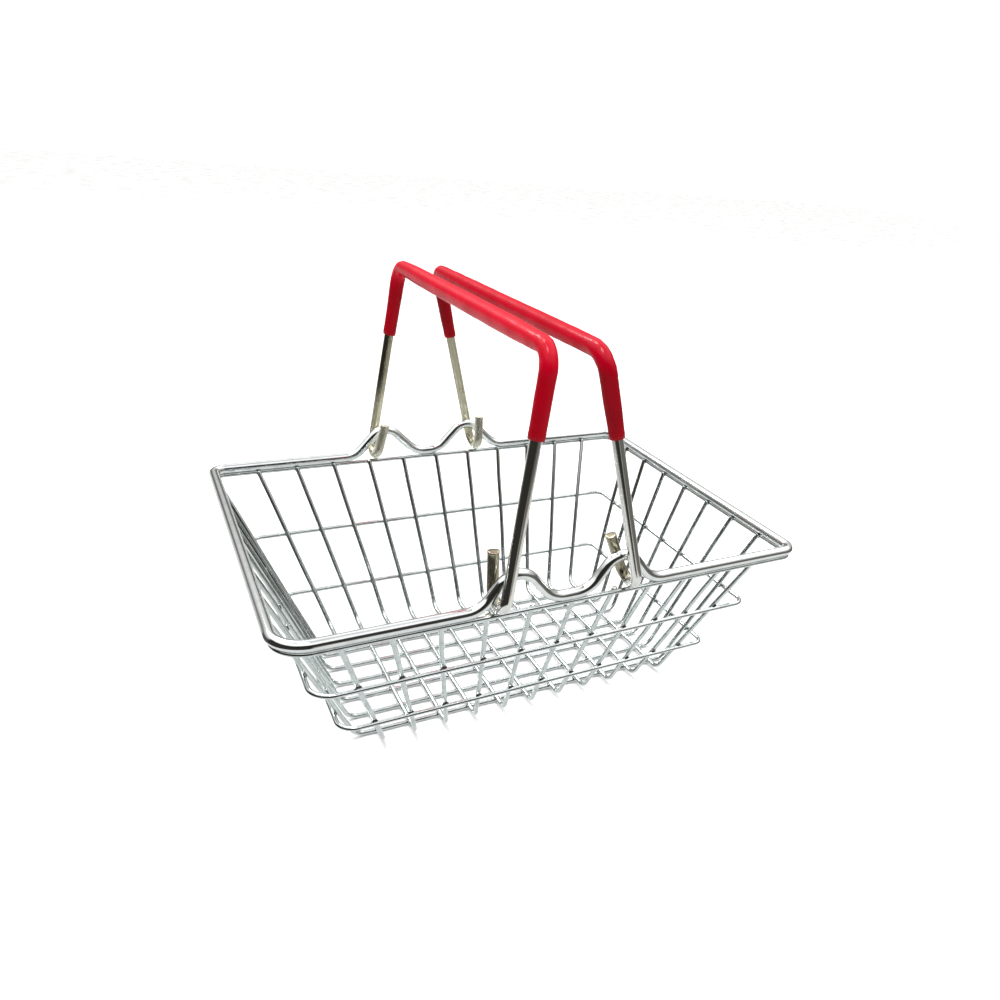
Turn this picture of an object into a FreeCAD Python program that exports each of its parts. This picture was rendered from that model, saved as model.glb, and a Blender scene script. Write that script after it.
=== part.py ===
import FreeCAD, Part
import math
import os
from FreeCAD import Vector

# Miniature wire shopping basket, chrome plated, with two swing handles in PVC sleeves.
# Millimetres.  X runs along the long side, Y across, Z up; the floor is Z = 0 and the
# middle of the basket's footprint is the origin.

os.makedirs("parts", exist_ok=True)

# ---- wire gauges -------------------------------------------------------------------
MESH_R = 0.7             # cross wires, long wires, hoops and the wire under the rim
RIM_R = 1.5              # heavy rim wire
HANDLE_R = 1.5           # handle wire
SLEEVE_R = 2.1           # outside of the PVC sleeve at its two ends
BEND_R = 2.3             # and round the two bends; each handle has its own radius on the bar
WELD = 0.2               # how far two welded mesh wires are pressed into each other
SEAT = 0.01              # how far the rim is pressed down on the wire below it

# ---- levels of the wire centres above the floor -----------------------------------------
Z_LONG = MESH_R                          # long wires lie on the floor
Z_CROSS = Z_LONG + 2 * MESH_R - WELD     # cross wires lie on the long wires
Z_LOWER = 13.55                          # lower hoop
Z_UPPER = 31.9                           # upper hoop
Z_UNDER = 51.35                          # wire under the rim
Z_TOP = Z_UNDER + MESH_R                 # cut ends of the mesh wires
Z_RIM = Z_UNDER + MESH_R + RIM_R - SEAT  # flat runs of the rim

# ---- side walls: centre planes of the upright wires ---------------------------------------
HALF_WIDTH = 55.8        # long walls, at Z_UNDER
HALF_LENGTH = 72.1       # short walls, at Z_UNDER
LONG_DRAFT = 0.468       # long walls lean out by this much per mm of height
SHORT_DRAFT = 0.394      # short walls
BOTTOM_BEND = 4.0        # centre-line radius where a wall wire turns into the bottom

# ---- mesh pitches --------------------------------------------------------------------------
CROSS_COUNT = 11
CROSS_PITCH_TOP = 12.0
CROSS_PITCH_FAN = 0.0566    # the pitch shrinks by this much per mm going down
LONG_COUNT = 7
LONG_PITCH_TOP = 13.95
LONG_PITCH_FAN = 0.102

# ---- plan corner radii of the closed loops -----------------------------------------------------
# The near left corner of every loop was closed by hand and is rounder than the other three.
RIM_CORNER = 3.6         # the rim and the wire under it
UPPER_CORNER = 3.2
LOWER_CORNER = 2.8
RIM_NEAR_LEFT = 8.0
UPPER_NEAR_LEFT = 6.0
LOWER_NEAR_LEFT = 5.0

# ---- humps in the long sides of the rim, one per handle -------------------------------------------
NEAR_HUMPS = dict(x=(-16.9, 12.9), flank=math.radians(52))
FAR_HUMPS = dict(x=(-17.8, 11.9), flank=math.radians(46))
HUMP_RISE = 8.6
HUMP_TOP_BEND = 5.5
HUMP_FOOT_BEND = 8.0

# ---- handles --------------------------------------------------------------------------------
PIVOT_Z = 53.87          # centre of the hook's lowest point, where the handle turns
HOOK_REACH = 7.85        # from the leg's centre line to the stub's, across the J hook
HOOK_BEND = 3.822        # centre-line radius of the two bends of the hook
LEG_FOOT_Y = 61.3        # half distance between the legs beside the rim
LEG_TOP_Y = 57.1         # and where they would meet the grip
NEAR_BEND = 5.6          # centre-line radius between the near leg and the grip bar
FAR_BEND = 5.2           # and between the bar and the far leg
SWELL = 14.0             # length of bar over which the sleeve thickens after a bend
LEFT = dict(x=-21.9, lean=math.radians(10.6), yaw=0.0, reach=63.7, grip_r=2.65, near_sleeve=43.5,
            far_sleeve=41.5, near_tip=math.radians(-10), far_tip=math.radians(6))
RIGHT = dict(x=15.55, lean=math.radians(-11.8), yaw=math.radians(0.4), reach=62.7, grip_r=2.4,
             near_sleeve=42.2, far_sleeve=40.5, near_tip=math.radians(-9.5), far_tip=math.radians(14))
NEAR_STUB = 13.9         # height of the sheared stub ends above the pivot, near side
FAR_STUB = 11.8          # and far side


def path_edges(points, radii, closed=False):
    """Straight runs joined by tangent arcs, one arc at every corner point."""
    count = len(points)
    corners = []
    for k in range(count):
        if radii[k] <= 0 or (not closed and k in (0, count - 1)):
            corners.append((points[k], None, points[k]))
            continue
        here = points[k]
        back = (points[k - 1] - here).normalize()
        ahead = (points[(k + 1) % count] - here).normalize()
        half = back.getAngle(ahead) / 2.0
        tangent = radii[k] / math.tan(half)
        inward = (back + ahead).normalize()
        centre = here + inward * (radii[k] / math.sin(half))
        start = here + back * tangent
        end = here + ahead * tangent
        corners.append((start, centre - inward * radii[k], end))
    edges = []
    for k in range(count):
        start, middle, end = corners[k]
        if middle is not None:
            edges.append(Part.Arc(start, middle, end).toShape())
        if k == count - 1 and not closed:
            break
        following = corners[(k + 1) % count][0]
        if (following - end).Length > 1e-6:
            edges.append(Part.LineSegment(end, following).toShape())
    return edges


def rod(edges, radius):
    """Round bar swept along tangent edges."""
    path = Part.Wire(edges)
    first = edges[0]
    start = first.valueAt(first.FirstParameter)
    along = first.tangentAt(first.FirstParameter)
    profile = Part.Wire([Part.makeCircle(radius, start, along)])
    return path.makePipeShell([profile], True, False)


def save(name, shape):
    """Write one node as its own STEP file."""
    shape.exportStep("parts/" + name + ".step")
    print(name, "valid", shape.isValid(), "solids", len(shape.Solids), "volume", round(shape.Volume, 2))


def wall_y(z):
    """Half distance between the long walls' wire centres at a height."""
    return HALF_WIDTH + LONG_DRAFT * (z - Z_UNDER)


def wall_x(z):
    """Half distance between the short walls' wire centres at a height."""
    return HALF_LENGTH + SHORT_DRAFT * (z - Z_UNDER)


def loop_half_sizes(z):
    """Half length and half width of a hoop welded round the outside of the walls."""
    step = 2 * MESH_R - WELD
    return (wall_x(z) + step * math.hypot(1, SHORT_DRAFT), wall_y(z) + step * math.hypot(1, LONG_DRAFT))


def hoop_edges(z, corner, near_left):
    """Closed rectangle with rounded corners at one height."""
    a, b = loop_half_sizes(z)
    points = [Vector(0, -b, z), Vector(a, -b, z), Vector(a, b, z), Vector(-a, b, z), Vector(-a, -b, z)]
    return path_edges(points, [0, corner, corner, corner, near_left], closed=True)


def hump_points(humps, side_y):
    """Corner points and bends of the two humps, in order of rising X."""
    crest = HUMP_RISE + HUMP_TOP_BEND * (1 / math.cos(humps["flank"]) - 1)
    run = crest / math.tan(humps["flank"])
    points = []
    radii = []
    for x in humps["x"]:
        points += [Vector(x - run, side_y, Z_RIM), Vector(x, side_y, Z_RIM + crest)]
        points += [Vector(x + run, side_y, Z_RIM)]
        radii += [HUMP_FOOT_BEND, HUMP_TOP_BEND, HUMP_FOOT_BEND]
    return points, radii


def rim_edges():
    """Closed rim loop with two humps in each long side."""
    a, b = loop_half_sizes(Z_UNDER)
    near, near_radii = hump_points(NEAR_HUMPS, -b)
    far, far_radii = hump_points(FAR_HUMPS, b)
    points = [Vector(a, 0, Z_RIM), Vector(a, b, Z_RIM)] + far[::-1]
    points += [Vector(-a, b, Z_RIM), Vector(-a, -b, Z_RIM)] + near + [Vector(a, -b, Z_RIM)]
    radii = [0, RIM_CORNER] + far_radii[::-1] + [RIM_CORNER, RIM_NEAR_LEFT]
    radii += near_radii + [RIM_CORNER]
    return path_edges(points, radii, closed=True)


def cross_wire_edges(i):
    """U-shaped wire up both long walls; i counts from the middle of the basket."""
    top_x = i * (CROSS_PITCH_TOP + CROSS_PITCH_FAN * (Z_TOP - Z_UNDER))
    low_x = i * (CROSS_PITCH_TOP + CROSS_PITCH_FAN * (Z_CROSS - Z_UNDER))
    top_y = wall_y(Z_TOP)
    low_y = wall_y(Z_CROSS)
    points = [Vector(top_x, -top_y, Z_TOP), Vector(low_x, -low_y, Z_CROSS)]
    points += [Vector(low_x, low_y, Z_CROSS), Vector(top_x, top_y, Z_TOP)]
    return path_edges(points, [0, BOTTOM_BEND, BOTTOM_BEND, 0])


def long_wire_edges(j):
    """U-shaped wire up both short walls; j counts from the middle of the basket."""
    top_y = j * (LONG_PITCH_TOP + LONG_PITCH_FAN * (Z_TOP - Z_UNDER))
    low_y = j * (LONG_PITCH_TOP + LONG_PITCH_FAN * (Z_LONG - Z_UNDER))
    top_x = wall_x(Z_TOP)
    low_x = wall_x(Z_LONG)
    points = [Vector(-top_x, top_y, Z_TOP), Vector(-low_x, low_y, Z_LONG)]
    points += [Vector(low_x, low_y, Z_LONG), Vector(top_x, top_y, Z_TOP)]
    return path_edges(points, [0, BOTTOM_BEND, BOTTOM_BEND, 0])


def handle_point(handle, up, across, tip=0.0):
    """Point in a handle's own plane: up along the leg from the pivot, across in Y."""
    lean = handle["lean"] + tip
    local = Vector(up * math.sin(lean), across, up * math.cos(lean))
    turned = Vector(local.x * math.cos(handle["yaw"]) - local.y * math.sin(handle["yaw"]),
                    local.x * math.sin(handle["yaw"]) + local.y * math.cos(handle["yaw"]), local.z)
    return turned + Vector(handle["x"], 0, PIVOT_Z)


def leg_y(handle, up):
    """Half distance between the legs this far up from the pivot."""
    return LEG_FOOT_Y + (LEG_TOP_Y - LEG_FOOT_Y) * up / handle["reach"]


def handle_edges(handle):
    """Whole handle wire: stub, hook, leg, grip, leg, hook, stub."""
    stub_y = LEG_FOOT_Y - HOOK_REACH
    reach = handle["reach"]
    points = [handle_point(handle, NEAR_STUB, -stub_y, handle["near_tip"])]
    points += [handle_point(handle, 0, -stub_y), handle_point(handle, 0, -LEG_FOOT_Y)]
    points += [handle_point(handle, reach, -LEG_TOP_Y), handle_point(handle, reach, LEG_TOP_Y)]
    points += [handle_point(handle, 0, LEG_FOOT_Y), handle_point(handle, 0, stub_y)]
    points += [handle_point(handle, FAR_STUB, stub_y, handle["far_tip"])]
    return path_edges(points, [0, HOOK_BEND, HOOK_BEND, NEAR_BEND, FAR_BEND, HOOK_BEND, HOOK_BEND, 0])


def sleeve_edges(handle):
    """The part of the handle path that the sleeve covers, from its near end to its far end."""
    reach = handle["reach"]
    near = handle["near_sleeve"]
    far = handle["far_sleeve"]
    points = [handle_point(handle, near, -leg_y(handle, near)), handle_point(handle, reach, -LEG_TOP_Y)]
    points += [handle_point(handle, reach, LEG_TOP_Y), handle_point(handle, far, leg_y(handle, far))]
    return path_edges(points, [0, NEAR_BEND, FAR_BEND, 0])


def end_points(edge):
    """Where an edge starts and ends."""
    return edge.valueAt(edge.FirstParameter), edge.valueAt(edge.LastParameter)


def taper(thin_end, thick_end, thin_radius, thick_radius):
    """Cone between two points."""
    along = thick_end - thin_end
    return Part.makeCone(thin_radius, thick_radius, along.Length, thin_end, along)


def sleeve(handle):
    """PVC tube that thickens from its ends to the bends, and again along the bar."""
    near_leg, near_bend, bar, far_bend, far_leg = sleeve_edges(handle)
    near_foot, near_top = end_points(near_leg)
    far_top, far_foot = end_points(far_leg)
    bar_start, bar_end = end_points(bar)
    along = (bar_end - bar_start).normalize()
    full_start = bar_start + along * SWELL
    full_end = bar_end - along * SWELL
    outside = Part.makeCylinder(handle["grip_r"], (full_end - full_start).Length, full_start, along)
    for piece in (taper(bar_start, full_start, BEND_R, handle["grip_r"]),
                  taper(bar_end, full_end, BEND_R, handle["grip_r"]),
                  rod([near_bend], BEND_R), rod([far_bend], BEND_R),
                  taper(near_foot, near_top, SLEEVE_R, BEND_R), taper(far_foot, far_top, SLEEVE_R, BEND_R)):
        outside = outside.fuse(piece)
    return outside.cut(rod(sleeve_edges(handle), HANDLE_R))


# ---- closed loops ---------------------------------------------------------------------------
save("rim_wire", rod(rim_edges(), RIM_R))
save("under_rim_wire", rod(hoop_edges(Z_UNDER, RIM_CORNER, RIM_NEAR_LEFT), MESH_R))
save("upper_hoop", rod(hoop_edges(Z_UPPER, UPPER_CORNER, UPPER_NEAR_LEFT), MESH_R))
save("lower_hoop", rod(hoop_edges(Z_LOWER, LOWER_CORNER, LOWER_NEAR_LEFT), MESH_R))

# ---- mesh: cross wires fan out upwards, long wires lie under them ----------------------------------
for n in range(CROSS_COUNT):
    save("cross_wire_%02d" % (n + 1), rod(cross_wire_edges(n - CROSS_COUNT // 2), MESH_R))
for n in range(LONG_COUNT):
    save("long_wire_%02d" % (n + 1), rod(long_wire_edges(n - LONG_COUNT // 2), MESH_R))

# ---- handles and their sleeves ----------------------------------------------------------------
for side, handle in (("left", LEFT), ("right", RIGHT)):
    save(side + "_handle_wire", rod(handle_edges(handle), HANDLE_R))
    save(side + "_grip_sleeve", sleeve(handle))
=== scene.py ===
import math

import bpy
from mathutils import Euler, Matrix, Vector, noise

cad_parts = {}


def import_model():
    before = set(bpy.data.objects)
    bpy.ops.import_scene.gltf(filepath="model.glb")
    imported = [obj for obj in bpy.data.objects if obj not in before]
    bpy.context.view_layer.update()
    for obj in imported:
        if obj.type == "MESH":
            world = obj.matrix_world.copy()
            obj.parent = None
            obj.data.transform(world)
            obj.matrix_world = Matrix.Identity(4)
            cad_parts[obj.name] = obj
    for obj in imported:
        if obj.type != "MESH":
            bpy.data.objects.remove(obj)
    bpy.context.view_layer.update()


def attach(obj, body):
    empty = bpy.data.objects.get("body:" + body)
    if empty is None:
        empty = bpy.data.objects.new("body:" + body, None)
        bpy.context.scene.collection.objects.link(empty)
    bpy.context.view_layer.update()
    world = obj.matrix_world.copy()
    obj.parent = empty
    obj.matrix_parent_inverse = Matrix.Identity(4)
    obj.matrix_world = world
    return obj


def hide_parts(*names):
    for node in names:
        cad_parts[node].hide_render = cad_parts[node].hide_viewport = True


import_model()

MM = 0.001

# ---- dimensions of the wires, in millimetres, as in the CAD model -----------------------------
MESH_R = 0.7
RIM_R = 1.5
HANDLE_R = 1.5
SLEEVE_R = 2.1
BEND_R = 2.3
WELD = 0.2
SEAT = 0.01
Z_LONG = MESH_R
Z_CROSS = Z_LONG + 2 * MESH_R - WELD
Z_LOWER = 13.55
Z_UPPER = 31.9
Z_UNDER = 51.35
Z_TOP = Z_UNDER + MESH_R
Z_RIM = Z_UNDER + MESH_R + RIM_R - SEAT
HALF_WIDTH = 55.8
HALF_LENGTH = 72.1
LONG_DRAFT = 0.468
SHORT_DRAFT = 0.394
BOTTOM_BEND = 4.0
CROSS_COUNT = 11
CROSS_PITCH_TOP = 12.0
CROSS_PITCH_FAN = 0.0566
LONG_COUNT = 7
LONG_PITCH_TOP = 13.95
LONG_PITCH_FAN = 0.102
RIM_CORNER = 3.6
UPPER_CORNER = 3.2
LOWER_CORNER = 2.8
RIM_NEAR_LEFT = 8.0
UPPER_NEAR_LEFT = 6.0
LOWER_NEAR_LEFT = 5.0
NEAR_HUMPS = dict(x=(-16.9, 12.9), flank=math.radians(52))
FAR_HUMPS = dict(x=(-17.8, 11.9), flank=math.radians(46))
HUMP_RISE = 8.6
HUMP_TOP_BEND = 5.5
HUMP_FOOT_BEND = 8.0
PIVOT_Z = 53.87
HOOK_REACH = 7.85
HOOK_BEND = 3.822
LEG_FOOT_Y = 61.3
LEG_TOP_Y = 57.1
NEAR_BEND = 5.6
FAR_BEND = 5.2
SWELL = 14.0
LEFT = dict(x=-21.9, lean=math.radians(10.6), yaw=0.0, reach=63.7, grip_r=2.65, near_sleeve=43.5,
            far_sleeve=41.5, near_tip=math.radians(-10), far_tip=math.radians(6))
RIGHT = dict(x=15.55, lean=math.radians(-11.8), yaw=math.radians(0.4), reach=62.7, grip_r=2.4,
             near_sleeve=42.2, far_sleeve=40.5, near_tip=math.radians(-9.5), far_tip=math.radians(14))
NEAR_STUB = 13.9
FAR_STUB = 11.8

# ---- dimensions of the finish, which the CAD model leaves out -----------------------------------
ARC_STEP = math.radians(7.5)       # bends are drawn in steps of about this angle
WAVER = 0.25                       # how far a hand-bent mesh wire wanders off its line
WAVER_SCALE = 0.045                # features of that wander per millimetre
WAVER_SEED = 1794884885            # unseeded, the wander would be drawn by the clock, anew each run
HANDLE_EASE = 0.01                 # drawn this much thinner than the sleeve's bore
SHEAR_ROLL = 0.95                  # length of the rolled-over edge at a sheared end
SHEAR_TURN = 1.1                   # direction in which a sheared face tilts, in radians
WIRE_TILT = math.radians(4)
HANDLE_TILT = math.radians(9)
HANDLE_SPREAD = 0.05               # share by which the shear splays the end of a handle wire
SEAM_DEPTH = 0.045                 # share of the rim's radius ground away at its butt weld
SEAM_REACH = 0.9
SLEEVE_LOSS = 0.10                 # keeps the uneven sleeve inside its CAD outline
SLEEVE_WAVE = 0.09
SLEEVE_WAVE_SCALE = 0.16
SLEEVE_FOLD = 0.13
SLEEVE_FOLD_SCALE = 0.75
SLEEVE_LIP = 0.05
LIP_PLACE = 0.8                    # from the sleeve's end to the crest of its lip
LIP_WIDTH = 0.7
MOUTH_WIDTH = 0.25                 # the end itself is rounded off over this length
ASIDE = Vector((0.13, 0.21, 0.97)) # a direction that no wire starts along

# ---- centre lines ----------------------------------------------------------------------------
def centre_line(points, radii, closed=False, step=3.0):
    """Dense points along straight runs joined by tangent arcs."""
    count = len(points)
    line = []
    previous = None
    first = None
    for k in range(count):
        here = points[k]
        if radii[k] <= 0 or (not closed and k in (0, count - 1)):
            bend = [here]
        else:
            back = (points[k - 1] - here).normalized()
            ahead = (points[(k + 1) % count] - here).normalized()
            half = back.angle(ahead) / 2
            inward = (back + ahead).normalized()
            centre = here + inward * (radii[k] / math.sin(half))
            start = here + back * (radii[k] / math.tan(half)) - centre
            end = here + ahead * (radii[k] / math.tan(half)) - centre
            turn = start.angle(end)
            axis = start.cross(end).normalized()
            pieces = max(2, round(turn / ARC_STEP))
            bend = [centre + Matrix.Rotation(turn * i / pieces, 3, axis) @ start for i in range(pieces + 1)]
        if previous is not None:
            line += run(previous, bend[0], step)
        else:
            first = bend[0]
        line += bend
        previous = bend[-1]
    if closed:
        line += run(previous, first, step)
    return without_repeats(line, closed)


def run(a, b, step):
    """Points between a and b, both left out."""
    pieces = max(1, round((b - a).length / step))
    return [a.lerp(b, i / pieces) for i in range(1, pieces)]


def without_repeats(line, closed, touching=1e-4):
    """Drop points that fall on their neighbour."""
    kept = [line[0]]
    for p in line[1:]:
        if (p - kept[-1]).length > touching:
            kept.append(p)
    if closed and (kept[0] - kept[-1]).length < touching:
        kept.pop()
    return kept


def waver(line, seed):
    """Slow hand-bent wander of an open wire, fading out at its ends; it never sinks below its line."""
    moved = []
    offset = Vector((seed * 7.3, seed * 3.1, seed * 5.7))
    for k, p in enumerate(line):
        drift = noise.noise_vector(p * WAVER_SCALE + offset)
        drift.z = abs(drift.z)
        share = min(1.0, k / 4, (len(line) - 1 - k) / 4)
        moved.append(p + drift * WAVER * share)
    return moved


def tangents(line, closed):
    """Unit direction of a line at each of its points."""
    count = len(line)
    found = []
    for k in range(count):
        if closed:
            found.append((line[(k + 1) % count] - line[k - 1]).normalized())
        else:
            found.append((line[min(k + 1, count - 1)] - line[max(k - 1, 0)]).normalized())
    return found


def frames(line, closed):
    """Rotation-minimising side vectors along a line; a closed line's twist is spread evenly."""
    along = tangents(line, closed)
    side = along[0].cross(ASIDE).normalized()
    sides = [side]
    for k in range(1, len(line)):
        side = (side - along[k] * side.dot(along[k])).normalized()
        sides.append(side)
    if closed:
        last = (sides[-1] - along[0] * sides[-1].dot(along[0])).normalized()
        twist = math.atan2(last.cross(sides[0]).dot(along[0]), last.dot(sides[0]))
        for k in range(len(line)):
            sides[k] = Matrix.Rotation(twist * k / len(line), 3, along[k]) @ sides[k]
    return along, sides


def lengths(line, closed=False):
    """Distance of every point from the start, and the whole length."""
    total = 0.0
    found = [0.0]
    for k in range(1, len(line)):
        total += (line[k] - line[k - 1]).length
        found.append(total)
    if closed:
        total += (line[0] - line[-1]).length
    return found, total


# ---- surfaces --------------------------------------------------------------------------------
def mesh_object(name, verts, faces, material, body, nodes=()):
    """Smooth mesh from millimetre points, riding a body and standing in for CAD nodes."""
    mesh = bpy.data.meshes.new(name)
    mesh.from_pydata([v * MM for v in verts], [], faces)
    mesh.polygons.foreach_set("use_smooth", [True] * len(mesh.polygons))
    mesh.update()
    piece = bpy.data.objects.new(name, mesh)
    bpy.context.scene.collection.objects.link(piece)
    mesh.materials.append(material)
    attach(piece, body)
    if nodes:
        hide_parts(*nodes)
    return piece


def ring(centre, along, side, radius, sides_count, section=None):
    """One cross-section; section(angle) scales the radius."""
    other = along.cross(side)
    points = []
    for i in range(sides_count):
        a = 2 * math.pi * i / sides_count
        r = radius * (section(a) if section else 1.0)
        points.append(centre + (side * math.cos(a) + other * math.sin(a)) * r)
    return points


def skin(rings, closed):
    """Quads between rings that follow each other."""
    n = len(rings[0])
    count = len(rings)
    faces = []
    for k in range(count if closed else count - 1):
        a = k * n
        b = ((k + 1) % count) * n
        for i in range(n):
            j = (i + 1) % n
            faces.append((a + i, a + j, b + j, b + i))
    return faces


def shear_cap(centre, along, side, radius, sides_count, outward, tilt, spread):
    """Rings that close a sheared wire end: a small roll-over, then the slightly tilted face."""
    direction = side * math.cos(SHEAR_TURN) + along.cross(side) * math.sin(SHEAR_TURN)
    lean = direction * math.tan(tilt)
    profile = ((0.9, 1.0), (0.35, 1.0 + spread * 0.6), (0.1, 1.0 + spread), (0.0, 0.93), (0.02, 0.55))
    rings = []
    for back, share in profile:
        loop = ring(centre - along * outward * back, along, side, radius * share, sides_count)
        slope = 1 if back < 0.5 else 0
        rings.append([p - along * outward * abs((p - centre).dot(lean)) * slope for p in loop])
    return rings


def wire(name, line, radius, material, body, node, sides_count=20, closed=False,
         swell=None, tilt=WIRE_TILT, spread=0.0):
    """Round bar along a line. swell(distance, total, angle) gives the local radius factor."""
    along, sides = frames(line, closed)
    gone, total = lengths(line, closed)
    rings = []
    for k, p in enumerate(line):
        if not closed and (gone[k] < SHEAR_ROLL or total - gone[k] < SHEAR_ROLL):
            continue
        section = (lambda a, d=gone[k]: swell(d, total, a)) if swell else None
        rings.append(ring(p, along[k], sides[k], radius, sides_count, section))
    if not closed:
        head = shear_cap(line[0], along[0], sides[0], radius, sides_count, -1, tilt, spread)
        tail = shear_cap(line[-1], along[-1], sides[-1], radius, sides_count, 1, tilt, spread)
        rings = head[::-1] + rings + tail
    verts = [p for loop in rings for p in loop]
    faces = skin(rings, closed)
    if not closed:
        faces.append(tuple(reversed(range(sides_count))))
        faces.append(tuple(range(len(verts) - sides_count, len(verts))))
    return mesh_object(name, verts, faces, material, body, [node])


def bump_at(distance, total, place, reach):
    """1 at a place along a closed wire, falling to 0 a little way off."""
    off = abs(distance - place)
    off = min(off, total - off) / reach
    return math.exp(-off * off)


# ---- shapes of the single wires --------------------------------------------------------------
def wall_y(z):
    return HALF_WIDTH + LONG_DRAFT * (z - Z_UNDER)


def wall_x(z):
    return HALF_LENGTH + SHORT_DRAFT * (z - Z_UNDER)


def loop_half_sizes(z):
    """Half length and half width of a hoop welded round the outside of the walls."""
    step = 2 * MESH_R - WELD
    return wall_x(z) + step * math.hypot(1, SHORT_DRAFT), wall_y(z) + step * math.hypot(1, LONG_DRAFT)


def hoop_line(z, corner, near_left):
    a, b = loop_half_sizes(z)
    points = [Vector((0, -b, z)), Vector((a, -b, z)), Vector((a, b, z))]
    points += [Vector((-a, b, z)), Vector((-a, -b, z))]
    return centre_line(points, [0, corner, corner, corner, near_left], closed=True)


def hump_points(humps, side_y):
    """Corner points and bends of the two humps, in order of rising X."""
    crest = HUMP_RISE + HUMP_TOP_BEND * (1 / math.cos(humps["flank"]) - 1)
    reach = crest / math.tan(humps["flank"])
    points = []
    radii = []
    for x in humps["x"]:
        points += [Vector((x - reach, side_y, Z_RIM)), Vector((x, side_y, Z_RIM + crest))]
        points += [Vector((x + reach, side_y, Z_RIM))]
        radii += [HUMP_FOOT_BEND, HUMP_TOP_BEND, HUMP_FOOT_BEND]
    return points, radii


def rim_line():
    """Closed rim loop with two humps in each long side, starting in the middle of the +X side."""
    a, b = loop_half_sizes(Z_UNDER)
    near, near_radii = hump_points(NEAR_HUMPS, -b)
    far, far_radii = hump_points(FAR_HUMPS, b)
    points = [Vector((a, 0, Z_RIM)), Vector((a, b, Z_RIM))] + far[::-1]
    points += [Vector((-a, b, Z_RIM)), Vector((-a, -b, Z_RIM))] + near + [Vector((a, -b, Z_RIM))]
    radii = [0, RIM_CORNER] + far_radii[::-1] + [RIM_CORNER, RIM_NEAR_LEFT] + near_radii + [RIM_CORNER]
    return centre_line(points, radii, closed=True, step=2.0)


def cross_x(i, z):
    return i * (CROSS_PITCH_TOP + CROSS_PITCH_FAN * (z - Z_UNDER))


def long_y(j, z):
    return j * (LONG_PITCH_TOP + LONG_PITCH_FAN * (z - Z_UNDER))


def cross_line(i):
    """U-shaped wire up both long walls; i counts from the middle of the basket."""
    top_x = cross_x(i, Z_TOP)
    top_y = wall_y(Z_TOP)
    low_x = cross_x(i, Z_CROSS)
    low_y = wall_y(Z_CROSS)
    points = [Vector((top_x, -top_y, Z_TOP)), Vector((low_x, -low_y, Z_CROSS))]
    points += [Vector((low_x, low_y, Z_CROSS)), Vector((top_x, top_y, Z_TOP))]
    return centre_line(points, [0, BOTTOM_BEND, BOTTOM_BEND, 0])


def long_line(j):
    """U-shaped wire up both short walls; j counts from the middle of the basket."""
    top_x = wall_x(Z_TOP)
    top_y = long_y(j, Z_TOP)
    low_x = wall_x(Z_LONG)
    low_y = long_y(j, Z_LONG)
    points = [Vector((-top_x, top_y, Z_TOP)), Vector((-low_x, low_y, Z_LONG))]
    points += [Vector((low_x, low_y, Z_LONG)), Vector((top_x, top_y, Z_TOP))]
    return centre_line(points, [0, BOTTOM_BEND, BOTTOM_BEND, 0])


def handle_point(handle, up, across, tip=0.0):
    """Point in a handle's own plane: up along the leg from the pivot, across in Y."""
    lean = handle["lean"] + tip
    local = Vector((up * math.sin(lean), across, up * math.cos(lean)))
    return Matrix.Rotation(handle["yaw"], 3, "Z") @ local + Vector((handle["x"], 0, PIVOT_Z))


def handle_line(handle):
    """Whole handle wire: stub, hook, leg, grip, leg, hook, stub."""
    stub_y = LEG_FOOT_Y - HOOK_REACH
    reach = handle["reach"]
    points = [handle_point(handle, NEAR_STUB, -stub_y, handle["near_tip"])]
    points += [handle_point(handle, 0, -stub_y), handle_point(handle, 0, -LEG_FOOT_Y)]
    points += [handle_point(handle, reach, -LEG_TOP_Y), handle_point(handle, reach, LEG_TOP_Y)]
    points += [handle_point(handle, 0, LEG_FOOT_Y), handle_point(handle, 0, stub_y)]
    points += [handle_point(handle, FAR_STUB, stub_y, handle["far_tip"])]
    radii = [0, HOOK_BEND, HOOK_BEND, NEAR_BEND, FAR_BEND, HOOK_BEND, HOOK_BEND, 0]
    return centre_line(points, radii, step=2.0)


def leg_y(handle, up):
    """Half distance between the legs this far up from the pivot."""
    return LEG_FOOT_Y + (LEG_TOP_Y - LEG_FOOT_Y) * up / handle["reach"]


def sleeve_line(handle):
    """The part of the handle's line that the sleeve covers."""
    reach = handle["reach"]
    near = handle["near_sleeve"]
    far = handle["far_sleeve"]
    points = [handle_point(handle, near, -leg_y(handle, near)), handle_point(handle, reach, -LEG_TOP_Y)]
    points += [handle_point(handle, reach, LEG_TOP_Y), handle_point(handle, far, leg_y(handle, far))]
    return centre_line(points, [0, NEAR_BEND, FAR_BEND, 0], step=1.0)


# ---- building node materials -----------------------------------------------------------------
def new_material(name):
    material = bpy.data.materials.new(name)
    material.use_nodes = True
    tree = material.node_tree
    return material, tree, tree.nodes["Principled BSDF"]


def add(tree, kind, **settings):
    node = tree.nodes.new(kind)
    for key, value in settings.items():
        setattr(node, key, value)
    return node


def feed(tree, socket, value):
    """Set a socket to a number or a colour, or link another node's output to it."""
    if isinstance(value, bpy.types.NodeSocket):
        tree.links.new(value, socket)
    elif isinstance(value, tuple):
        socket.default_value = (*value, 1)
    else:
        socket.default_value = value


def combine(tree, operation, *values):
    """Arithmetic on numbers and other nodes' outputs."""
    node = add(tree, "ShaderNodeMath", operation=operation)
    for socket, value in zip(node.inputs, values):
        feed(tree, socket, value)
    return node.outputs[0]


def colour_mix(tree, factor, first, last):
    """Mix two colours, each a constant or another node's output."""
    node = add(tree, "ShaderNodeMix", data_type="RGBA")
    tree.links.new(factor, node.inputs["Factor"])
    colours = [socket for socket in node.inputs if socket.type == "RGBA"]
    feed(tree, colours[0], first)
    feed(tree, colours[1], last)
    return [socket for socket in node.outputs if socket.type == "RGBA"][0]


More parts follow.
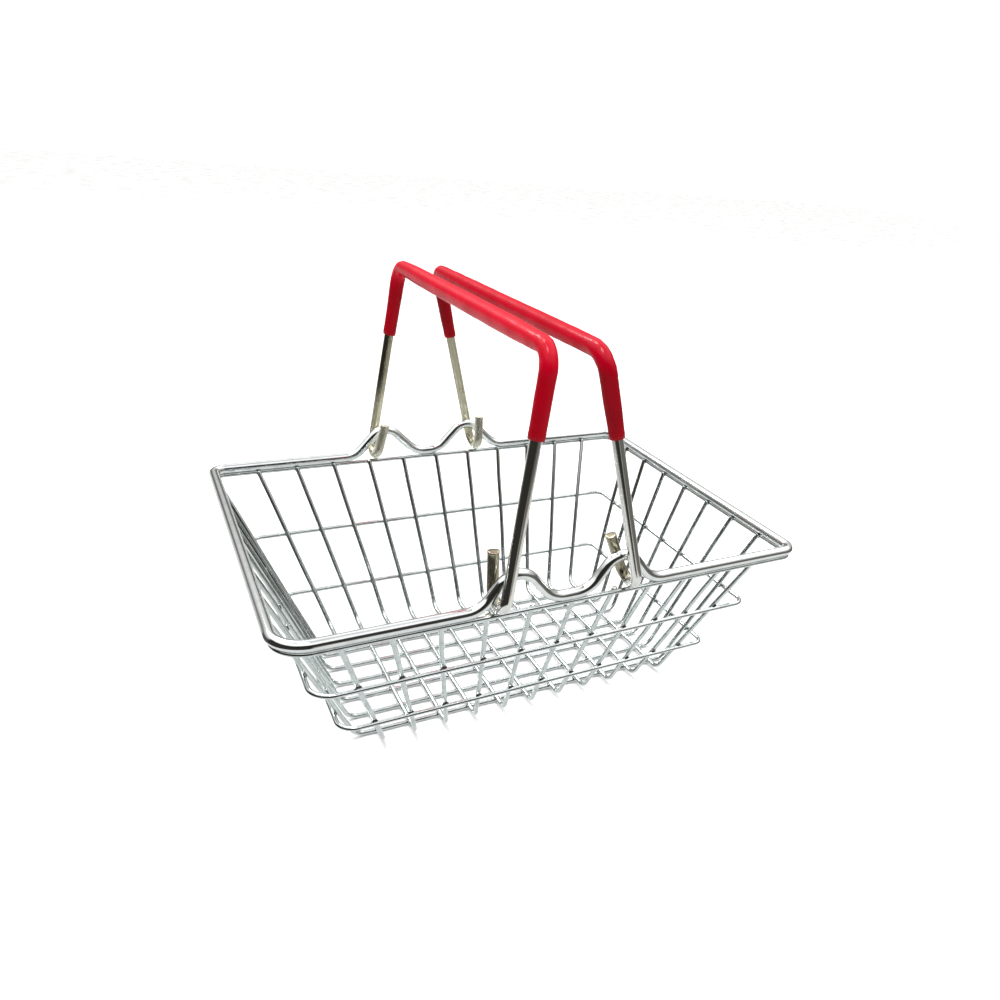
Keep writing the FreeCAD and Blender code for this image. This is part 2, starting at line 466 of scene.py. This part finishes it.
def ramp(tree, source, low, high, first, last):
    """Map a factor between low and high onto first to last."""
    node = add(tree, "ShaderNodeMapRange", interpolation_type="SMOOTHSTEP")
    node.inputs["From Min"].default_value = low
    node.inputs["From Max"].default_value = high
    node.inputs["To Min"].default_value = first
    node.inputs["To Max"].default_value = last
    tree.links.new(source, node.inputs["Value"])
    return node.outputs["Result"]


def object_noise(tree, scale, detail, roughness=0.5):
    """Noise fixed to the piece, scale in features per metre."""
    place = add(tree, "ShaderNodeTexCoord")
    node = add(tree, "ShaderNodeTexNoise")
    node.inputs["Scale"].default_value = scale
    node.inputs["Detail"].default_value = detail
    node.inputs["Roughness"].default_value = roughness
    tree.links.new(place.outputs["Object"], node.inputs["Vector"])
    return node.outputs["Fac"]


def object_place(tree):
    """X, Y and Z on the piece, in metres."""
    place = add(tree, "ShaderNodeTexCoord")
    split = add(tree, "ShaderNodeSeparateXYZ")
    tree.links.new(place.outputs["Object"], split.inputs[0])
    return split.outputs["X"], split.outputs["Y"], split.outputs["Z"]


def bump(tree, shader, height, strength, distance):
    """Fine relief; distance in millimetres."""
    node = add(tree, "ShaderNodeBump")
    node.inputs["Strength"].default_value = strength
    node.inputs["Distance"].default_value = distance * MM
    tree.links.new(height, node.inputs["Height"])
    tree.links.new(node.outputs["Normal"], shader.inputs["Normal"])


# ---- metal -----------------------------------------------------------------------------------
CLOUD_SCALE = 260        # clouding of the plate
SPECK_SCALE = 2600       # orange peel and pits


def plated(name, bright, dull, smooth, rough, peel):
    """Bright plate over drawn wire: faint clouding and fine orange peel."""
    material, tree, shader = new_material(name)
    cloud = object_noise(tree, CLOUD_SCALE, 3)
    blotch = ramp(tree, cloud, 0.42, 0.72, 0.0, 1.0)
    tree.links.new(colour_mix(tree, blotch, bright, dull), shader.inputs["Base Color"])
    tree.links.new(ramp(tree, cloud, 0.35, 0.75, smooth, rough), shader.inputs["Roughness"])
    bump(tree, shader, object_noise(tree, SPECK_SCALE, 2, 0.6), peel, 0.04)
    shader.inputs["Metallic"].default_value = 1.0
    return material


# Where the look of a handle changes, in metres: the start and the end of each fade.
FAR_LEG_Y = (0.050, 0.056)
NEAR_STUB_Y = (-0.0576, -0.0562)
FAR_STUB_Y = (0.0545, 0.0562)
HOOK_Z = (0.0535, 0.0575)
UPPER_LEG_Z = (0.066, 0.086)
BETWEEN_WIRES_X = (-0.008, -0.002)
BETWEEN_GRIPS_X = (-0.006, -0.001)
GRIP_Z = (0.1095, 0.1150)
GRIP_END_Y = (0.047, 0.053)


def nickel_material():
    """Handle wire: bright near legs, brown near stubs, khaki far legs, pale far stubs."""
    material, tree, shader = new_material("handle_nickel")
    cloud = object_noise(tree, CLOUD_SCALE, 3)
    x, y, z = object_place(tree)

    # The upper half of the left handle's far leg is drawn mostly like the near legs: bright, smooth and
    # metallic.
    left = ramp(tree, x, *BETWEEN_WIRES_X, 1.0, 0.0)
    shiny = combine(tree, "MULTIPLY", left, ramp(tree, z, *UPPER_LEG_Z, 0.0, 1.0))
    far_look_share = ramp(tree, shiny, 0.0, 1.0, 1.0, 0.12)
    far = combine(tree, "MULTIPLY", ramp(tree, y, *FAR_LEG_Y, 0.0, 1.0), far_look_share)
    inside_near_leg = ramp(tree, y, *NEAR_STUB_Y, 0.0, 1.0)
    far_stub = ramp(tree, y, *FAR_STUB_Y, 1.0, 0.0)

    bright = colour_mix(tree, cloud, (0.90, 0.90, 0.88), (0.82, 0.81, 0.77))
    brown = colour_mix(tree, cloud, (0.50, 0.46, 0.35), (0.34, 0.31, 0.22))
    khaki = colour_mix(tree, cloud, (0.88, 0.85, 0.66), (0.52, 0.49, 0.34))
    pale = colour_mix(tree, cloud, (0.99, 0.99, 0.88), (0.90, 0.90, 0.78))
    near_end = colour_mix(tree, inside_near_leg, bright, brown)
    far_end = colour_mix(tree, far_stub, khaki, pale)
    tree.links.new(colour_mix(tree, far, near_end, far_end), shader.inputs["Base Color"])

    dull = combine(tree, "MAXIMUM", far, inside_near_leg)
    shine = ramp(tree, dull, 0.0, 1.0, 0.07, 0.19)
    grain = ramp(tree, cloud, 0.35, 0.75, 0.9, 1.5)
    tree.links.new(combine(tree, "MULTIPLY", shine, grain), shader.inputs["Roughness"])

    chalk = combine(tree, "MULTIPLY", far, ramp(tree, far_stub, 0.0, 1.0, 0.36, 0.96))
    above_hook = ramp(tree, z, *HOOK_Z, 0.15, 1.0)
    clouded = combine(tree, "MULTIPLY", chalk, above_hook)
    tree.links.new(ramp(tree, clouded, 0.0, 1.0, 1.0, 0.0), shader.inputs["Metallic"])
    bump(tree, shader, object_noise(tree, SPECK_SCALE, 2, 0.6), 0.18, 0.04)
    return material


def weld_material():
    """Dark weld nuggets: partly burnt scale, partly painted shade of the shadowed corners where the wires
    cross.
    """
    material, tree, shader = new_material("weld_scale_and_shade")
    cloud = object_noise(tree, 1800, 3, 0.6)
    mask = ramp(tree, cloud, 0.40, 0.62, 0.0, 1.0)
    colour = colour_mix(tree, mask, (0.02, 0.018, 0.014), (0.16, 0.15, 0.13))
    tree.links.new(colour, shader.inputs["Base Color"])
    tree.links.new(ramp(tree, cloud, 0.3, 0.7, 0.35, 0.6), shader.inputs["Roughness"])
    shader.inputs["Metallic"].default_value = 0.7
    bump(tree, shader, cloud, 0.5, 0.08)
    return material


# ---- plastic ---------------------------------------------------------------------------------
def pvc_material():
    """Red PVC: darker and duller on the legs, brighter and with more coat on the bar; the darker legs are
    painted shade, the brighter bar painted light.
    """
    material, tree, shader = new_material("grip_pvc")
    cloud = object_noise(tree, 120, 3)
    mask = ramp(tree, cloud, 0.38, 0.68, 0.0, 1.0)
    x, y, z = object_place(tree)
    # Mask of the bar, where the brighter red of painted light and the extra coat go; below it the legs get
    # the darker red of painted shade.
    lit_bar_mask = ramp(tree, z, *GRIP_Z, 0.0, 1.0)

    # The left grip gets more coat all along, the right one mostly in its bends.
    across = combine(tree, "ABSOLUTE", y)
    left_gloss = ramp(tree, x, *BETWEEN_GRIPS_X, 1.0, 0.25)
    bend_gloss = ramp(tree, across, *GRIP_END_Y, 0.25, 1.0)
    gloss = combine(tree, "MAXIMUM", left_gloss, bend_gloss)
    coat_share = combine(tree, "MULTIPLY", lit_bar_mask, gloss)
    tree.links.new(ramp(tree, coat_share, 0.0, 1.0, 0.03, 0.24), shader.inputs["Coat Weight"])

    # Painted shade and painted light: the legs get a darker red and the bar a brighter red for how the
    # light falls on them. The right sleeve is drawn darker, scaled down to 0.8 of the left one's colour.
    legs = colour_mix(tree, mask, (0.32, 0.0, 0.007), (0.27, 0.0, 0.005))
    bar = colour_mix(tree, mask, (0.50, 0.0, 0.016), (0.44, 0.0, 0.012))
    depth = add(tree, "ShaderNodeVectorMath", operation="SCALE")
    tree.links.new(colour_mix(tree, lit_bar_mask, legs, bar), depth.inputs[0])
    tree.links.new(ramp(tree, x, *BETWEEN_GRIPS_X, 1.0, 0.80), depth.inputs["Scale"])
    tree.links.new(depth.outputs[0], shader.inputs["Base Color"])

    tree.links.new(ramp(tree, cloud, 0.35, 0.7, 0.34, 0.46), shader.inputs["Roughness"])
    bump(tree, shader, object_noise(tree, 1500, 2), 0.25, 0.06)
    shader.inputs["Specular IOR Level"].default_value = 0.06
    shader.inputs["Coat Roughness"].default_value = 0.16
    shader.inputs["IOR"].default_value = 1.5
    return material


rim_chrome = plated("rim_chrome", bright=(0.86, 0.885, 0.89), dull=(0.78, 0.80, 0.80),
                    smooth=0.03, rough=0.09, peel=0.12)
mesh_chrome = plated("mesh_chrome", bright=(0.72, 0.765, 0.765), dull=(0.60, 0.64, 0.64),
                     smooth=0.07, rough=0.18, peel=0.22)
handle_nickel = nickel_material()
weld_scale_and_shade = weld_material()
grip_pvc = pvc_material()

# ---- closed loops ----------------------------------------------------------------------------
RIM_JOINT = 0.0            # the rim's ends meet where its line starts


def rim_swell(distance, total, angle):
    """The butt weld between the rim's ends, ground back a little too far and unevenly."""
    seam = bump_at(distance, total, RIM_JOINT, SEAM_REACH)
    return 1.0 - SEAM_DEPTH * seam * (0.6 + 0.4 * math.sin(3 * angle + 1.0))


wire("rim_wire_plated", rim_line(), RIM_R, rim_chrome, "basket", "rim_wire",
     sides_count=28, closed=True, swell=rim_swell)

# Each hoop's butt weld: where it lies along the hoop, and the rise (a share) and reach of its lump.
HOOPS = [
    dict(node="under_rim_wire", z=Z_UNDER, corner=RIM_CORNER, near_left=RIM_NEAR_LEFT,
         joint=297.0, rise=0.20, reach=4.0),
    dict(node="upper_hoop", z=Z_UPPER, corner=UPPER_CORNER, near_left=UPPER_NEAR_LEFT,
         joint=150.0, rise=0.16, reach=0.8),
    dict(node="lower_hoop", z=Z_LOWER, corner=LOWER_CORNER, near_left=LOWER_NEAR_LEFT,
         joint=20.0, rise=0.16, reach=0.8),
]


def lumpy_joint(hoop):
    """Radius factor along a hoop, with an uneven lump at its butt weld."""
    def swell(distance, total, angle):
        rough = noise.noise(Vector((distance * 1.3, angle * 1.7, hoop["z"])))
        return 1.0 + hoop["rise"] * bump_at(distance, total, hoop["joint"], hoop["reach"]) * (0.35 + rough)
    return swell


for hoop in HOOPS:
    wire(hoop["node"] + "_plated", hoop_line(hoop["z"], hoop["corner"], hoop["near_left"]), MESH_R,
         mesh_chrome, "basket", hoop["node"], closed=True, swell=lumpy_joint(hoop))

# ---- mesh ------------------------------------------------------------------------------------
LONG_SEED = 30             # keeps the long wires' wander apart from the cross wires'

noise.seed_set(WAVER_SEED)
for n in range(CROSS_COUNT):
    node = "cross_wire_%02d" % (n + 1)
    line = waver(cross_line(n - CROSS_COUNT // 2), n + 1)
    wire(node + "_plated", line, MESH_R, mesh_chrome, "basket", node)
for n in range(LONG_COUNT):
    node = "long_wire_%02d" % (n + 1)
    line = waver(long_line(n - LONG_COUNT // 2), LONG_SEED + n + 1)
    wire(node + "_plated", line, MESH_R, mesh_chrome, "basket", node)

# ---- handles ---------------------------------------------------------------------------------
def bend_places(gone, total, curve):
    """Where the two bends of a sleeve's line start and end, as distances along it."""
    bent = [gone[k] for k in range(len(gone)) if curve[k] > 0.5]
    near = [distance for distance in bent if distance < total / 2]
    far = [distance for distance in bent if distance > total / 2]
    return min(near), max(near), min(far), max(far)


def sleeve(name, line, body, node, seed, grip_r):
    """PVC tube pushed over the wire: soft lips, a slightly uneven wall, small folds in the bends."""
    count = 36
    along, sides = frames(line, False)
    gone, total = lengths(line)
    curve = [0.0] * len(line)
    for k in range(1, len(line) - 1):
        curve[k] = min(1.0, along[k - 1].angle(along[k + 1]) / ARC_STEP)
    near_top, bar_start, bar_end, far_top = bend_places(gone, total, curve)
    outer = []
    for k, p in enumerate(line):
        leg_share = min(gone[k] / near_top, (total - gone[k]) / (total - far_top), 1.0)
        bar_share = min(max(min(gone[k] - bar_start, bar_end - gone[k]) / SWELL, 0.0), 1.0)
        wall = SLEEVE_R + (BEND_R - SLEEVE_R) * leg_share + (grip_r - BEND_R) * bar_share
        edge = min(gone[k], total - gone[k])
        crest = SLEEVE_LIP * math.exp(-((edge - LIP_PLACE) / LIP_WIDTH) ** 2)
        lip = crest - SLEEVE_LIP * math.exp(-(edge / MOUTH_WIDTH) ** 2)
        other = along[k].cross(sides[k])
        loop = []
        for i in range(count):
            a = 2 * math.pi * i / count
            out = sides[k] * math.cos(a) + other * math.sin(a)
            q = p + out * wall
            slow = noise.noise(q * SLEEVE_WAVE_SCALE + Vector((seed, 0, 0)))
            fold = noise.noise(q * SLEEVE_FOLD_SCALE + Vector((0, seed, 0))) * curve[k]
            loop.append(p + out * (wall - SLEEVE_LOSS + SLEEVE_WAVE * slow + SLEEVE_FOLD * fold + lip))
        outer.append(loop)
    inner = [ring(p, along[k], sides[k], HANDLE_R, count) for k, p in enumerate(line)]
    rings = outer + inner[::-1]
    verts = [p for loop in rings for p in loop]
    return mesh_object(name, verts, skin(rings, True), grip_pvc, body, [node])


for side, handle, seed in (("left", LEFT, 3.0), ("right", RIGHT, 8.0)):
    wire(side + "_handle_wire_plated", handle_line(handle), HANDLE_R - HANDLE_EASE, handle_nickel,
         side + "_handle", side + "_handle_wire", sides_count=24,
         tilt=HANDLE_TILT, spread=HANDLE_SPREAD)
    sleeve(side + "_grip_sleeve_pvc", sleeve_line(handle), side + "_handle", side + "_grip_sleeve",
           seed, handle["grip_r"])

# ---- weld spots ------------------------------------------------------------------------------
# Half sizes of a nugget: across the wire, along it, and out of the wall.
NEAR_NUGGET = (0.92, 1.25, 0.48)
WALL_NUGGET = (0.80, 0.85, 0.34)
BOTTOM_NUGGET = (0.85, 0.85, 0.3)
NEAR_RISE = 0.45           # how far a nugget sits above the middle of its crossing
LONG_WALL_RISE = 0.1
SHORT_WALL_RISE = 0.2
NUGGET_ROWS = 7
NUGGET_COLUMNS = 12
HALF_STEP = (2 * MESH_R - WELD) / 2


def blob(centre, first, second, normal, sizes, seed):
    """Squashed nugget of weld metal; returns its vertices and faces."""
    verts = [centre + normal * sizes[2]]
    for r in range(1, NUGGET_ROWS):
        polar = math.pi * r / NUGGET_ROWS
        for c in range(NUGGET_COLUMNS):
            turn = 2 * math.pi * c / NUGGET_COLUMNS
            place = Vector((math.cos(turn) * 2, math.sin(turn) * 2, seed * 1.7 + polar))
            flat = math.sin(polar) * (1.0 + 0.16 * noise.noise(place))
            verts.append(centre + first * (sizes[0] * flat * math.cos(turn))
                         + second * (sizes[1] * flat * math.sin(turn))
                         + normal * (sizes[2] * math.cos(polar)))
    verts.append(centre - normal * sizes[2])
    faces = []
    for c in range(NUGGET_COLUMNS):
        d = (c + 1) % NUGGET_COLUMNS
        faces.append((0, 1 + c, 1 + d))
        for r in range(NUGGET_ROWS - 2):
            a = 1 + r * NUGGET_COLUMNS
            b = a + NUGGET_COLUMNS
            faces.append((a + c, b + c, b + d, a + d))
        a = 1 + (NUGGET_ROWS - 2) * NUGGET_COLUMNS
        faces.append((a + c, len(verts) - 1, a + d))
    return verts, faces


def weld_piece(name, spots):
    """All the nuggets of one set of crossings, as one piece."""
    verts = []
    faces = []
    for k, (centre, first, second, normal, sizes) in enumerate(spots):
        more_verts, more_faces = blob(centre, first, second, normal, sizes, k)
        faces += [tuple(i + len(verts) for i in face) for face in more_faces]
        verts += more_verts
    return mesh_object(name, verts, faces, weld_scale_and_shade, "basket")


def long_wall_spots(z):
    """Nuggets where the cross wires meet a loop; those low on the near wall are heavier, their dark colour
    partly painted shade.
    """
    slope = Vector((0, LONG_DRAFT, 1)).normalized()
    spots = []
    for n in range(CROSS_COUNT):
        for s in (-1, 1):
            up = Vector((0, s * slope.y, slope.z))
            out = Vector((0, s * slope.z, -slope.y))
            crossing = Vector((cross_x(n - CROSS_COUNT // 2, z), s * wall_y(z), z)) + out * HALF_STEP
            if s < 0 and z < Z_UNDER:
                spots.append((crossing + up * NEAR_RISE, Vector((1, 0, 0)), up, out, NEAR_NUGGET))
            else:
                spots.append((crossing + up * LONG_WALL_RISE, Vector((1, 0, 0)), up, out, WALL_NUGGET))
    return spots


def short_wall_spots(z):
    """Nuggets where the long wires meet a loop."""
    slope = Vector((SHORT_DRAFT, 0, 1)).normalized()
    spots = []
    for n in range(LONG_COUNT):
        for s in (-1, 1):
            up = Vector((s * slope.x, 0, slope.z))
            out = Vector((s * slope.z, 0, -slope.x))
            crossing = Vector((s * wall_x(z), long_y(n - LONG_COUNT // 2, z), z)) + out * HALF_STEP
            spots.append((crossing + up * SHORT_WALL_RISE, Vector((0, 1, 0)), up, out, WALL_NUGGET))
    return spots


def bottom_spots():
    """Nuggets between the cross wires and the long wires."""
    spots = []
    for n in range(CROSS_COUNT):
        for m in range(LONG_COUNT):
            x = cross_x(n - CROSS_COUNT // 2, Z_CROSS)
            y = long_y(m - LONG_COUNT // 2, Z_LONG)
            centre = Vector((x, y, Z_LONG + HALF_STEP))
            axes = (Vector((1, 0, 0)), Vector((0, 1, 0)), Vector((0, 0, 1)))
            spots.append((centre, *axes, BOTTOM_NUGGET))
    return spots


for name, z in (("under_rim_welds", Z_UNDER), ("upper_hoop_welds", Z_UPPER), ("lower_hoop_welds", Z_LOWER)):
    weld_piece(name, long_wall_spots(z) + short_wall_spots(z))
weld_piece("bottom_welds", bottom_spots())

# ---- floor -----------------------------------------------------------------------------------
FLOOR_HALF = 3.0           # metres


def floor():
    """Plain pale floor, left out of mirrored light: the world's lower half stands in for it there."""
    mesh = bpy.data.meshes.new("floor")
    corners = [(-FLOOR_HALF, -FLOOR_HALF, 0), (FLOOR_HALF, -FLOOR_HALF, 0)]
    corners += [(FLOOR_HALF, FLOOR_HALF, 0), (-FLOOR_HALF, FLOOR_HALF, 0)]
    mesh.from_pydata(corners, [], [(0, 1, 2, 3)])
    piece = bpy.data.objects.new("floor", mesh)
    bpy.context.scene.collection.objects.link(piece)
    material, tree, shader = new_material("floor_white")
    cloud = object_noise(tree, 30, 2)
    tree.links.new(ramp(tree, cloud, 0.3, 0.7, 0.24, 0.34), shader.inputs["Roughness"])
    colour = colour_mix(tree, cloud, (0.77, 0.77, 0.77), (0.75, 0.755, 0.75))
    tree.links.new(colour, shader.inputs["Base Color"])
    mesh.materials.append(material)
    piece.visible_glossy = False


floor()

# ---- light -----------------------------------------------------------------------------------
# Light of the studio by elevation in degrees, before the darker and brighter patches.
LEVELS = [
    (-90, (0.72, 0.74, 0.73)), (-56, (0.82, 0.84, 0.83)), (-20, (0.80, 0.82, 0.81)),
    (-6, (0.78, 0.78, 0.76)), (0, (0.58, 0.58, 0.57)), (6, (0.48, 0.47, 0.45)),
    (14, (0.42, 0.41, 0.39)), (27, (0.75, 0.75, 0.74)), (36, (1.15, 1.15, 1.14)),
    (60, (1.25, 1.25, 1.25)), (75, (0.85, 0.85, 0.85)), (90, (0.60, 0.60, 0.60)),
]
# Patches laid over it in this order. The sector is azimuth, half width and softness, and the band
# is its lowest and highest elevation, all in degrees; azimuth 0 is -Y and 90 is +X. The band
# fades over blur to either side, which is measured in the sine of the elevation.
PATCHES = [
    dict(sector=(120, 58, 14), band=(-16, 8), blur=0.05, strength=0.30, colour=(0.32, 0.32, 0.28)),
    dict(sector=(60, 55, 10), band=(-32, -2), blur=0.05, strength=0.70, colour=(0.80, 0.78, 0.72)),
    dict(sector=(55, 50, 12), band=(-23, 2), blur=0.05, strength=0.88, colour=(0.06, 0.057, 0.05)),
    dict(sector=(30, 75, 12), band=(-4, 12), blur=0.03, strength=0.85, colour=(0.10, 0.092, 0.08)),
    dict(sector=(-20, 38, 10), band=(6, 30), blur=0.05, strength=0.85, colour=(0.08, 0.078, 0.072)),
    dict(sector=(-5, 30, 9), band=(-13, 36), blur=0.05, strength=0.93, colour=(0.03, 0.028, 0.025)),
    dict(sector=(-58, 60, 7), band=(-33, 33), blur=0.05, strength=0.97, colour=(0.018, 0.016, 0.012)),
    dict(sector=(-78, 70, 8), band=(-32, 9), blur=0.06, strength=0.92, colour=(0.03, 0.028, 0.024)),
    dict(sector=(168, 42, 12), band=(2, 17), blur=0.04, strength=0.80, colour=(0.10, 0.10, 0.095)),
    dict(sector=(95, 50, 14), band=(37, 62), blur=0.05, strength=0.90, colour=(2.0, 2.0, 1.98)),
]
PAPER_STRENGTH = 1.05      # what the camera sees behind the floor's edge


def towards(azimuth, elevation):
    """Unit vector for an azimuth (0 is -Y, 90 is +X) and an elevation, in degrees."""
    a = math.radians(azimuth)
    e = math.radians(elevation)
    return Vector((math.sin(a) * math.cos(e), -math.cos(a) * math.cos(e), math.sin(e)))


def facing(tree, direction, azimuth):
    """Cosine between the level part of a direction and an azimuth."""
    level = add(tree, "ShaderNodeVectorMath", operation="MULTIPLY")
    level.inputs[1].default_value = (1, 1, 0)
    tree.links.new(direction, level.inputs[0])
    unit = add(tree, "ShaderNodeVectorMath", operation="NORMALIZE")
    tree.links.new(level.outputs[0], unit.inputs[0])
    dot = add(tree, "ShaderNodeVectorMath", operation="DOT_PRODUCT")
    dot.inputs[1].default_value = towards(azimuth, 0)
    tree.links.new(unit.outputs[0], dot.inputs[0])
    return dot.outputs["Value"]


def patch_mask(tree, direction, height, patch):
    """1 inside a patch's sector and band, fading at its edges, times its strength."""
    azimuth, half_width, soft = patch["sector"]
    inner = math.cos(math.radians(max(0, half_width - soft)))
    outer = math.cos(math.radians(min(180, half_width + soft)))
    sector = ramp(tree, facing(tree, direction, azimuth), outer, inner, 0, 1)
    bottom, top = (math.sin(math.radians(elevation)) for elevation in patch["band"])
    blur = patch["blur"]
    above = ramp(tree, height, bottom - blur, bottom + blur, 0, 1)
    below = ramp(tree, height, top - blur, top + blur, 1, 0)
    band = combine(tree, "MULTIPLY", above, below)
    return combine(tree, "MULTIPLY", combine(tree, "MULTIPLY", sector, band), patch["strength"])


def world():
    """Pale studio with a bright ceiling and the dark side where the photographer stands."""
    made = bpy.data.worlds.new("studio")
    bpy.context.scene.world = made
    made.use_nodes = True
    tree = made.node_tree
    tree.nodes.clear()
    direction = add(tree, "ShaderNodeTexCoord").outputs["Generated"]
    split = add(tree, "ShaderNodeSeparateXYZ")
    tree.links.new(direction, split.inputs[0])
    height = split.outputs["Z"]

    half = add(tree, "ShaderNodeMapRange")
    half.inputs["From Min"].default_value = -1
    tree.links.new(height, half.inputs["Value"])
    tone = add(tree, "ShaderNodeValToRGB")
    tree.links.new(half.outputs["Result"], tone.inputs["Fac"])
    stops = tone.color_ramp.elements
    while len(stops) < len(LEVELS):
        stops.new(0.5)
    for stop, (elevation, colour) in zip(stops, LEVELS):
        stop.position = (math.sin(math.radians(elevation)) + 1) / 2
        stop.color = (*colour, 1)

    shade = tone.outputs["Color"]
    for patch in PATCHES:
        shade = colour_mix(tree, patch_mask(tree, direction, height, patch), shade, patch["colour"])
    studio = add(tree, "ShaderNodeBackground")
    tree.links.new(shade, studio.inputs["Color"])
    paper = add(tree, "ShaderNodeBackground")
    paper.inputs["Strength"].default_value = PAPER_STRENGTH
    paper.inputs["Color"].default_value = (1, 1, 1, 1)
    path = add(tree, "ShaderNodeLightPath")
    choose = add(tree, "ShaderNodeMixShader")
    tree.links.new(path.outputs["Is Camera Ray"], choose.inputs["Fac"])
    tree.links.new(studio.outputs[0], choose.inputs[1])
    tree.links.new(paper.outputs[0], choose.inputs[2])
    out = add(tree, "ShaderNodeOutputWorld")
    tree.links.new(choose.outputs[0], out.inputs["Surface"])


def sun(name, azimuth, elevation, strength, angle):
    """Broad soft light that isn't mirrored; angle is its width in degrees."""
    data = bpy.data.lights.new(name, "SUN")
    data.energy = strength
    data.angle = math.radians(angle)
    lamp = bpy.data.objects.new(name, data)
    lamp.rotation_euler = towards(azimuth, elevation).to_track_quat("Z", "Y").to_euler()
    lamp.visible_glossy = False
    bpy.context.scene.collection.objects.link(lamp)


def spot_lamp(name, azimuth, elevation, distance, radius, power):
    """Round ceiling lamp, seen as a highlight in the sleeves."""
    data = bpy.data.lights.new(name, "AREA")
    data.shape = "DISK"
    data.size = radius * 2
    data.energy = power
    lamp = bpy.data.objects.new(name, data)
    lamp.location = towards(azimuth, elevation) * distance
    lamp.rotation_euler = towards(azimuth, elevation).to_track_quat("Z", "Y").to_euler()
    bpy.context.scene.collection.objects.link(lamp)


world()
sun("ceiling", azimuth=130, elevation=80, strength=3.0, angle=70)
for k, (azimuth, elevation) in enumerate(((-166, 42), (-160, 64), (-50, 77))):
    spot_lamp("lamp_%d" % (k + 1), azimuth, elevation, distance=1.2, radius=0.15, power=3.6)

# ---- camera ----------------------------------------------------------------------------------
CAMERA_PLACE = (-88.62, -217.36, 156.25)      # millimetres
CAMERA_TURN = (62.194, -4.924, -29.912)       # degrees

camera_data = bpy.data.cameras.new("camera")
camera_data.sensor_width = 36.0
camera_data.lens = 29.045
camera_data.shift_x = -0.1227
camera_data.shift_y = 0.0736
camera_data.clip_start = 0.01
camera = bpy.data.objects.new("camera", camera_data)
bpy.context.scene.collection.objects.link(camera)
bpy.context.scene.camera = camera
camera.location = Vector(CAMERA_PLACE) * MM
camera.rotation_euler = Euler([math.radians(a) for a in CAMERA_TURN], "XYZ")

bpy.context.scene.view_settings.view_transform = "Standard"
